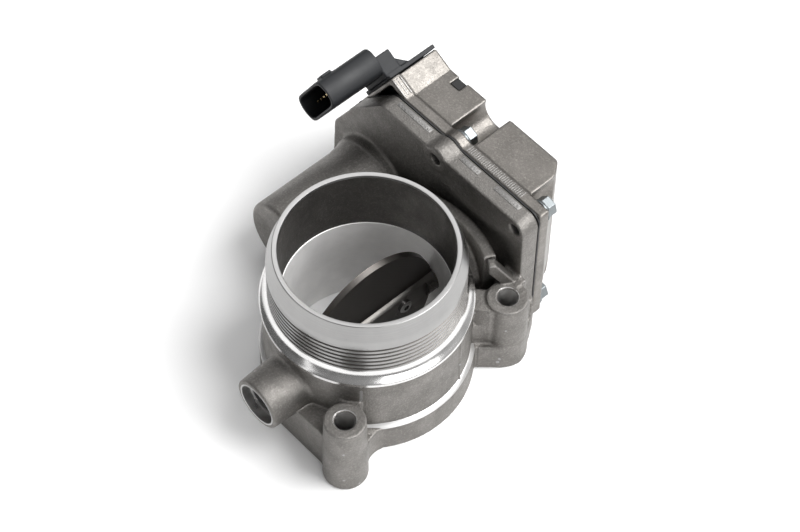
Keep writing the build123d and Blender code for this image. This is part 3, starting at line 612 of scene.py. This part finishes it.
def ramp_wall(x, y, z):
    along = (x - RAMP_START[0]) * RAMP_WAY[0] + (y - RAMP_START[1]) * RAMP_WAY[1]
    across = (y - RAMP_START[1]) * RAMP_WAY[0] - (x - RAMP_START[0]) * RAMP_WAY[1]
    return _capped(polygon_distance(along, z, RAMP_SECTION), np.abs(across) - RAMP_HALF_WIDTH, 0.35)


casting.add((RAMP_BOX, ramp_wall), 0.5)
# motor housing, its collar and the gear case
casting.add(rod(X, MOTOR, 16.5, 2.0, 50.0, 2.0), 1.8)
casting.add(rod(X, MOTOR, 16.4, 40.0, 45.8, 0.2, end_radius=17.7), 0.8)
casting.add(rod(X, MOTOR, 18.0, 45.0, 50.5, 0.4), 0.2)
casting.add(prism(X, CASE_OUTLINE, 49.5, CASE_FACE, 0.6, corner=5.0), 1.6)
casting.add(rod(X, SCREWS[0], 5.2, 49.5, CASE_FACE, 0.6), 2.0)
# bore, open for the lathed wall, and the drilled holes
casting.cut(rod(Z, (0, 0), 33.5, -5.0, 50.0))
for place in BOSSES:
    casting.cut(rod(Z, place, 3.7, -2.0, 40.0), 0.3)
casting.cut(rod(X, (0, SHAFT_Z), 8.2, -60.0, -44.4), 0.3)
casting.cut(rod(X, (0, SHAFT_Z), 7.0, -60.0, -34.8))
casting.cut(rod(X, (0, SHAFT_Z), 5.6, 28.0, 60.0))
casting.cut(rod(X, (0, SHAFT_Z), 9.6, 43.8, 60.0))
casting.cut(rod(X, (0, SHAFT_Z), 13.8, 44.6, 60.0))
casting.cut(prism(X, inset(CASE_OUTLINE, 1.9), 52.5, 62.0, corner=3.0))
casting.cut(rod(X, MOTOR, 14.3, 4.4, 62.0))
for place in SCREWS[:2]:
    casting.cut(rod(X, place, 2.3, 45.0, 60.0), 0.3)
# seal groove in the flange face
SEAL_BOX = ((-36.6, -36.6, -1.0), (36.6, 36.6, 2.0))
SEAL_RADIUS = 35.3
SEAL_HALF_WIDTH = 1.3


def seal_groove(x, y, z):
    radial = np.abs(np.sqrt(x * x + y * y) - SEAL_RADIUS) - SEAL_HALF_WIDTH
    return _capped(radial, np.abs(z - 0.5) - 1.5, 0.0)


casting.cut((SEAL_BOX, seal_groove))
# flange face and gear case joint face, flat where the fillets would swell them
casting.distance = np.maximum(casting.distance, -casting.axes[2][None, None, :])
casting.distance = np.maximum(casting.distance, casting.axes[0][:, None, None] - CASE_FACE)
housing_casting = casting.mesh("housing_casting")
carry(housing_casting, "cast", "cast_aluminium", "throttle_housing")

# ---------------------------------------------------------------- lathed bore wall, collar and spigot
GROOVES = 7
GROOVE_PITCH = 2.25
FIRST_GROOVE = 57.9
bore_wall = [(BORE_RADIUS, 0.0), (BORE_RADIUS, 41.3)]
bore_wall += [(CAST_BORE_RADIUS, 41.45), (CAST_BORE_RADIUS, 68.2)]
mouth = [(31.3, 68.85), (31.45, SPIGOT_TOP), (32.85, SPIGOT_TOP), (33.1, 68.7), (35.15, 62.9)]
profile = bore_wall + mouth + [(SPIGOT_RADIUS, 62.3), (SPIGOT_RADIUS, 58.6)]
for index in range(GROOVES):
    top = FIRST_GROOVE + 0.55 - GROOVE_PITCH * index
    profile += [(SPIGOT_RADIUS, top), (34.95, top - 0.18), (34.9, top - 0.9), (SPIGOT_RADIUS, top - 1.1)]
collar = [(35.6, 44.2), (36.4, 42.8), (37.6, 41.7), (38.2, 41.2), (38.4, 40.9), (38.4, 39.6), (38.1, 39.1)]
profile += [(SPIGOT_RADIUS, 45.3)] + collar + [(37.6, 38.9), (37.2, 38.4), (34.2, 38.4), (34.2, 0.0)]
spigot = lathe("spigot_turned", profile, 320)


def shaft_hole(name, radius, start, stop):
    """Cutter for the shaft's way through the bore wall."""
    section = [(radius, start), (radius, stop), (0.01, stop), (0.01, start)]
    return lathe(name, section, 64, along_x(0, SHAFT_Z))


shaft_way = shaft_hole("shaft_way", 5.12, 28.0, 36.0)
journal_way = shaft_hole("journal_way", 4.12, -36.0, -28.0)
cut_with(spigot, [shaft_way, journal_way])
shade_by_angle(spigot, 24)
spigot.data.materials.clear()
SPIGOT_LOOKS = ("turned", "bored", "bore", "polished", "groove", "rim")
for key in SPIGOT_LOOKS:
    spigot.data.materials.append(looks[key])


def spigot_look(away, height):
    """The look of the spigot's surface, by its distance from the axis and its height."""
    if away < 31.2 and height < 66.8:
        # the bored wall below 41.38 carries a painted reflection, the cast wall above it painted shade
        return "bored" if height < 41.38 else "bore"
    if height < 44.9:
        return "polished"
    # inside the grooves: painted shade
    if away < 35.3 and height < 58.5:
        return "groove"
    return "rim" if height > 68.85 else "turned"


for polygon in spigot.data.polygons:
    middle = polygon.center / MM
    look = spigot_look(math.hypot(middle.x, middle.y), middle.z)
    polygon.material_index = SPIGOT_LOOKS.index(look)
carry(spigot, None, "cast_aluminium")

ledge_profile = [(39.2, 12.5), (39.28, FLANGE_HEIGHT), (37.95, 14.35), (37.4, 14.5), (37.4, 12.5)]
ledge = lathe("flange_ledge", ledge_profile, 256)
shade_by_angle(ledge, 40)
carry(ledge, "satin", "cast_aluminium")

# drilled walls of the bolt holes, and the turned mouth of the shaft stub
hole_wall = [(3.5, 0.3), (3.5, 32.6), (4.0, 33.45), (4.3, 33.52), (4.3, 33.2), (3.9, 32.4), (3.9, 0.3)]
for index, place in enumerate(BOSSES):
    insert = lathe(f"bolt_hole_{index}", hole_wall, 72, Matrix.Translation(Vector((*place, 0)) * MM))
    shade_by_angle(insert, 40)
    carry(insert, "drilled", "cast_aluminium")

mouth_wall = [
    (8.05, -52.1), (8.05, -48.6), (7.3, -48.5), (7.3, -47.9), (8.4, -47.9), (8.4, -51.6), (8.7, -52.17),
    (8.35, -52.19),
]
stub_mouth = lathe("stub_mouth", mouth_wall, 96, along_x(0, SHAFT_Z))
shade_by_angle(stub_mouth, 35)
carry(stub_mouth, "drilled", "cast_aluminium")

# ---------------------------------------------------------------- gear cover
COVER_BOX = ((56.0, -29.0, -1.5), (82.5, 78.0, 68.0))
COVER_JOINT = 57.8
COVER_EDGE = 62.0
BEYOND = 90.0
# slanted side of the cover, a plane through its edge
SLANT_NORMAL = (0.76, -1.0, 0.0)
SLANT_OFFSET = COVER_EDGE * 0.76 + 26.6
SLANT_WALL = 3.8
SLANT_REGION = ((55.0, -30.0, -3.0), (84.0, -8.0, 70.0))
WINDOW = [(34.5, 58.3), (39.1, 58.3), (39.1, 70.0), (34.5, 70.0)]
EJECTOR_PINS = [(-14.0, 12.0), (-14.0, 46.0), (52.0, 12.0), (30.0, 48.0), (20.0, 26.0)]
cover = Field(*COVER_BOX, COVER_GRID)
cover.add(prism(X, inset(COVER_OUTLINE, 0.3), 58.2, COVER_FACE, 0.8, corner=0.6))
cover.cut(half_space(SLANT_NORMAL, SLANT_OFFSET, SLANT_REGION), 1.0)
for place in SCREWS:
    cover.cut(rod(X, place, 6.4, 61.9, BEYOND), 0.9)
cover.add(prism(X, COVER_OUTLINE, COVER_JOINT, COVER_EDGE, 0.45, corner=1.0), 1.2)
cover.add(rod(X, SCREWS[0], 5.2, COVER_JOINT, COVER_EDGE, 0.5), 1.0)
for place in SCREWS:
    cover.cut(rod(X, place, 2.45, 50.0, 62.5))
cover.cut(prism(X, WINDOW, 75.6, BEYOND), 0.3)
for place in EJECTOR_PINS:
    cover.cut(rod(X, place, 3.0, 80.12, 84.0), 0.3)
hollow = Field(*COVER_BOX, COVER_GRID)
hollow.add(prism(X, inset(COVER_OUTLINE, 1.9), 50.0, 78.0, corner=2.0))
hollow.cut(half_space(SLANT_NORMAL, SLANT_OFFSET - SLANT_WALL, SLANT_REGION))
for place in SCREWS:
    hollow.cut(rod(X, place, 8.2, 50.0, BEYOND))
cover.distance = np.maximum(cover.distance, -hollow.distance)
cover_casting = cover.mesh("cover_casting")
carry(cover_casting, "cover", "cover_aluminium", "gear_cover")


def raised_bars(name, bars, bevel, look, slot_name):
    """Small rounded bars on a face. Each is (low corner, high corner, matrix) in millimetres."""
    work = bmesh.new()
    for low, high, place in bars:
        low, high = Vector(low), Vector(high)
        middle, size = (low + high) / 2, high - low
        shape = Matrix.Translation(middle) @ Matrix.Diagonal((*size, 1))
        bmesh.ops.create_cube(work, size=1, matrix=place @ shape)
    bmesh.ops.bevel(
        work, geom=list(work.edges), offset=bevel, segments=2, profile=0.5, affect="EDGES"
    )
    work.transform(Matrix.Scale(MM, 4))
    mesh = bpy.data.meshes.new(name)
    work.to_mesh(mesh)
    work.free()
    piece = bpy.data.objects.new(name, mesh)
    scene.collection.objects.link(piece)
    shade_by_angle(piece, 40)
    carry(piece, look, slot_name)


UNTURNED = Matrix.Identity(4)
# rows of short ridges across the cover's edge: first, last and height
RIDGE_ROWS = [(12.0, -17.2, 0.28), (30.4, 24.4, 0.16)]
RIDGE_PITCH = 0.92
RIDGE_HALF_WIDTH = 0.27
# long ridges up the cover's slope: both sides and height
SLOPE_RIDGES = [(58.1, 58.8, 0.35), (59.7, 60.3, 0.3), (61.2, 61.9, 0.45)]
ridges = []
for start, stop, height in RIDGE_ROWS:
    for i in range(int((start - stop) / RIDGE_PITCH)):
        y = start - RIDGE_PITCH * i
        low = (58.4, y - RIDGE_HALF_WIDTH, 61.3)
        high = (61.7 - 0.5 * (i % 2), y + RIDGE_HALF_WIDTH, CASE_TOP + height)
        ridges.append((low, high, UNTURNED))
slope_angle = math.atan2(CREST[1] - CASE_TOP, CREST[0] - SLOPE_START)
on_slope = Matrix.Translation((0, SLOPE_START, CASE_TOP)) @ Matrix.Rotation(slope_angle, 4, "X")
for x0, x1, height in SLOPE_RIDGES:
    ridges.append(((x0, 1.2, -0.3), (x1, 8.6, height), on_slope))
raised_bars("cover_ridges", ridges, 0.12, "cover", "cover_aluminium")

# raised pads on the gear case, each with a row of ticks
PAD_RUNS = [(44.4, 27.0), (11.0, 1.6), (-6.6, -19.4)]
TICK_PITCH = 1.5
TICK_HALF_WIDTH = 0.22
pads = []
for start, stop in PAD_RUNS:
    pads.append(((54.0, stop, 61.2), (56.2, start, 61.68), UNTURNED))
    for i in range(int((start - stop) / TICK_PITCH)):
        y = start - 1.0 - TICK_PITCH * i
        low = (54.5, y - TICK_HALF_WIDTH, CASE_TOP)
        high = (55.3 + 0.4 * (i % 3 == 0), y + TICK_HALF_WIDTH, 61.88)
        pads.append((low, high, UNTURNED))
raised_bars("case_pads", pads, 0.1, "cast", "cast_aluminium")

# ---------------------------------------------------------------- cover screws
HEAD_CORNER = 3.95
FIRST_TURN, TURN_STEP = 0.4, 0.9  # radians, so that the heads don't all stand alike
head = Field((57.0, -5.5, -5.5), (69.5, 5.5, 5.5), SCREW_GRID)
hexagon = []
for i in range(6):
    corner = math.radians(60 * i)
    hexagon.append((HEAD_CORNER * math.cos(corner), HEAD_CORNER * math.sin(corner)))
head.add(prism(X, hexagon, 62.5, 67.0, 0.35))
head.add(rod(X, (0, 0), 4.55, 62.02, 63.3, 0.3, end_radius=4.3), 0.3)
head.cut(rod(X, (0, 0), 2.7, 66.1, 70.0), 0.5)
head.add(rod(X, (0, 0), 2.3, 58.0, 63.0, 0.1))
screws = head.mesh("cover_screws_zinc")
work = bmesh.new()
for index, (y, z) in enumerate(SCREWS):
    screw = screws.data.copy()
    screw.transform(Matrix.Rotation(FIRST_TURN + TURN_STEP * index, 4, "X"))
    screw.transform(Matrix.Translation(Vector((0, y, z)) * MM))
    work.from_mesh(screw)
work.to_mesh(screws.data)
work.free()
screws.data.polygons.foreach_set("use_smooth", np.ones(len(screws.data.polygons), bool))
carry(screws, "zinc", "zinc_steel", "cover_screws")

# ---------------------------------------------------------------- plug socket, in its tilted frame
# Local axes: x along X, u across the facet, v square to it.
socket = Field((32.0, -7.5, -26.0), (81.5, 16.5, 4.0), SOCKET_GRID)


def oval(u0, u1, v_low, v_high, bulge, rounding, x0, x1):
    """Upright slab whose two ends are crowned."""
    middle, half = (u0 + u1) / 2, (u1 - u0) / 2
    radius = (half * half + bulge * bulge) / (2 * bulge)

    def function(x, u, v):
        flat = np.abs(u - middle) - half
        upper = np.sqrt((u - middle) ** 2 + (v - (v_high - radius)) ** 2) - radius
        lower = np.sqrt((u - middle) ** 2 + (v - (v_low + radius)) ** 2) - radius
        upper = np.where(v > v_high - radius, upper, -FAR)
        lower = np.where(v < v_low + radius, lower, -FAR)
        section = -smooth_min(-flat, -np.maximum(upper, lower), 2 * rounding)
        axial = np.abs(x - (x0 + x1) / 2) - (x1 - x0) / 2
        return _capped(section, axial, 0.35)

    return ((x0, u0, v_low), (x1, u1, v_high)), function


def block(x0, x1, u0, u1, v0, v1, rounding):
    """Box in the socket's local axes."""
    return prism(X, [(u0, v0), (u1, v0), (u1, v1), (u0, v1)], x0, x1, rounding)


# body, neck over the case, flange plate, gusset, tongue in the cover and latch
socket.add(oval(3.1, 14.4, -24.0, 2.4, 2.6, 0.8, 33.0, CASE_FACE))
socket.add(block(57.0, 64.3, 1.0, 9.6, -20.0, 0.2, 0.5), 0.5)
socket.add(block(57.9, 80.2, 0.0, 1.7, -24.5, 0.3, 0.35), 0.5)
wedge_points = [(63.5, 1.0), (63.5, 6.4), (68.4, 1.9), (68.4, 1.0)]
socket.add(prism(Z, wedge_points, -18.8, -0.8, 0.3), 0.4)
socket.add(block(62.8, 76.4, -6.0, 0.6, -19.6, -4.4, 0.3))
socket.add(block(36.6, 41.3, 13.6, 15.4, -6.4, -1.6, 0.35), 0.5)
socket.cut(oval(4.2, 13.3, -22.9, 1.3, 2.3, 0.8, 30.0, 53.0), 0.2)
tilt = Matrix(
    (
        (1, 0, 0, 0),
        (0, math.cos(FACET), -math.sin(FACET), CREST[0] * MM),
        (0, math.sin(FACET), math.cos(FACET), CREST[1] * MM),
        (0, 0, 0, 1),
    )
)
socket_piece = socket.mesh("plug_socket", tilt)
carry(socket_piece, "black", "black_plastic", "connector_housing")

# ---------------------------------------------------------------- floor, light and camera
LAMP_TARGET = Vector((0, 0, 0.03))


def area_light(name, location, size, energy):
    data = bpy.data.lights.new(name, "AREA")
    data.shape = "RECTANGLE"
    data.size, data.size_y = size
    data.energy = energy
    lamp = bpy.data.objects.new(name, data)
    lamp.location = location
    lamp.rotation_mode = "QUATERNION"
    lamp.rotation_quaternion = (LAMP_TARGET - Vector(location)).to_track_quat("-Z", "Y")
    scene.collection.objects.link(lamp)


FLOOR_REACH = 4
FLOOR_Z = -0.0002  # just under the flange face
corners = [(x * FLOOR_REACH, y * FLOOR_REACH, 0) for x, y in ((-1, -1), (1, -1), (1, 1), (-1, 1))]
floor_mesh = bpy.data.meshes.new("floor")
floor_mesh.from_pydata(corners, [], [(0, 1, 2, 3)])
floor = bpy.data.objects.new("floor", floor_mesh)
floor.location.z = FLOOR_Z
scene.collection.objects.link(floor)
floor_look, tree, shader = new_material("floor_paper")
where = node(tree, "ShaderNodeTexCoord").outputs["Object"]
paper = noise(tree, where, 3.0, 2.0)
tree.links.new(
    mix_colour(tree, paper, (0.93, 0.93, 0.93, 1), (0.95, 0.95, 0.95, 1)), shader.inputs["Base Color"]
)
shader.inputs["Roughness"].default_value = 0.6
shader.inputs["Emission Color"].default_value = (1, 1, 1, 1)
shader.inputs["Emission Strength"].default_value = 0.04
floor_mesh.materials.append(floor_look)

sun_data = bpy.data.lights.new("key_sun", "SUN")
sun_data.energy = 3.4
sun_data.angle = math.radians(44)
sun = bpy.data.objects.new("key_sun", sun_data)
sun.rotation_mode = "QUATERNION"
sun.rotation_quaternion = Vector((0.45, -0.44, 0.85)).to_track_quat("Z", "Y")
scene.collection.objects.link(sun)
area_light("front_box", (-0.05, -1.15, 0.72), (1.10, 0.55), 6.5)
area_light("top_box", (0.45, 0.55, 1.15), (0.9, 0.7), 3.2)
area_light("left_strip", (-1.2, 0.1, 0.5), (0.15, 0.9), 0.6)

world = bpy.data.worlds.new("studio")
scene.world = world
world.use_nodes = True
tree = world.node_tree
direction = node(tree, "ShaderNodeTexCoord").outputs["Generated"]
towards = node(
    tree, "ShaderNodeVectorMath", {0: direction, 1: (0.55, -0.35, 0.5)}, operation="DOT_PRODUCT"
).outputs["Value"]
glow = ramp(tree, towards, -0.7, 0.8, 0.08, 0.52)
tree.links.new(glow, tree.nodes["Background"].inputs["Color"])
tree.nodes["Background"].inputs["Strength"].default_value = 1.0

azimuth, elevation, roll = math.radians(-42.876), math.radians(55.011), 0.016272
CAMERA_PLACE = (-0.335891, -0.378650, 0.781429)
LENS_MM, SENSOR_MM = 113.97, 36
level = math.cos(elevation)
forward = Vector((-math.sin(azimuth) * level, math.cos(azimuth) * level, -math.sin(elevation)))
level_right = Vector((math.cos(azimuth), math.sin(azimuth), 0))
level_up = level_right.cross(forward)
right = math.cos(roll) * level_right + math.sin(roll) * level_up
up = -math.sin(roll) * level_right + math.cos(roll) * level_up
camera_data = bpy.data.cameras.new("camera")
camera_data.sensor_width = SENSOR_MM
camera_data.lens = LENS_MM
camera = bpy.data.objects.new("camera", camera_data)
pose = Matrix((right, up, -forward)).transposed().to_4x4()
pose.translation = Vector(CAMERA_PLACE)
camera.matrix_world = pose
scene.collection.objects.link(camera)
scene.camera = camera
scene.view_settings.view_transform = "Standard"
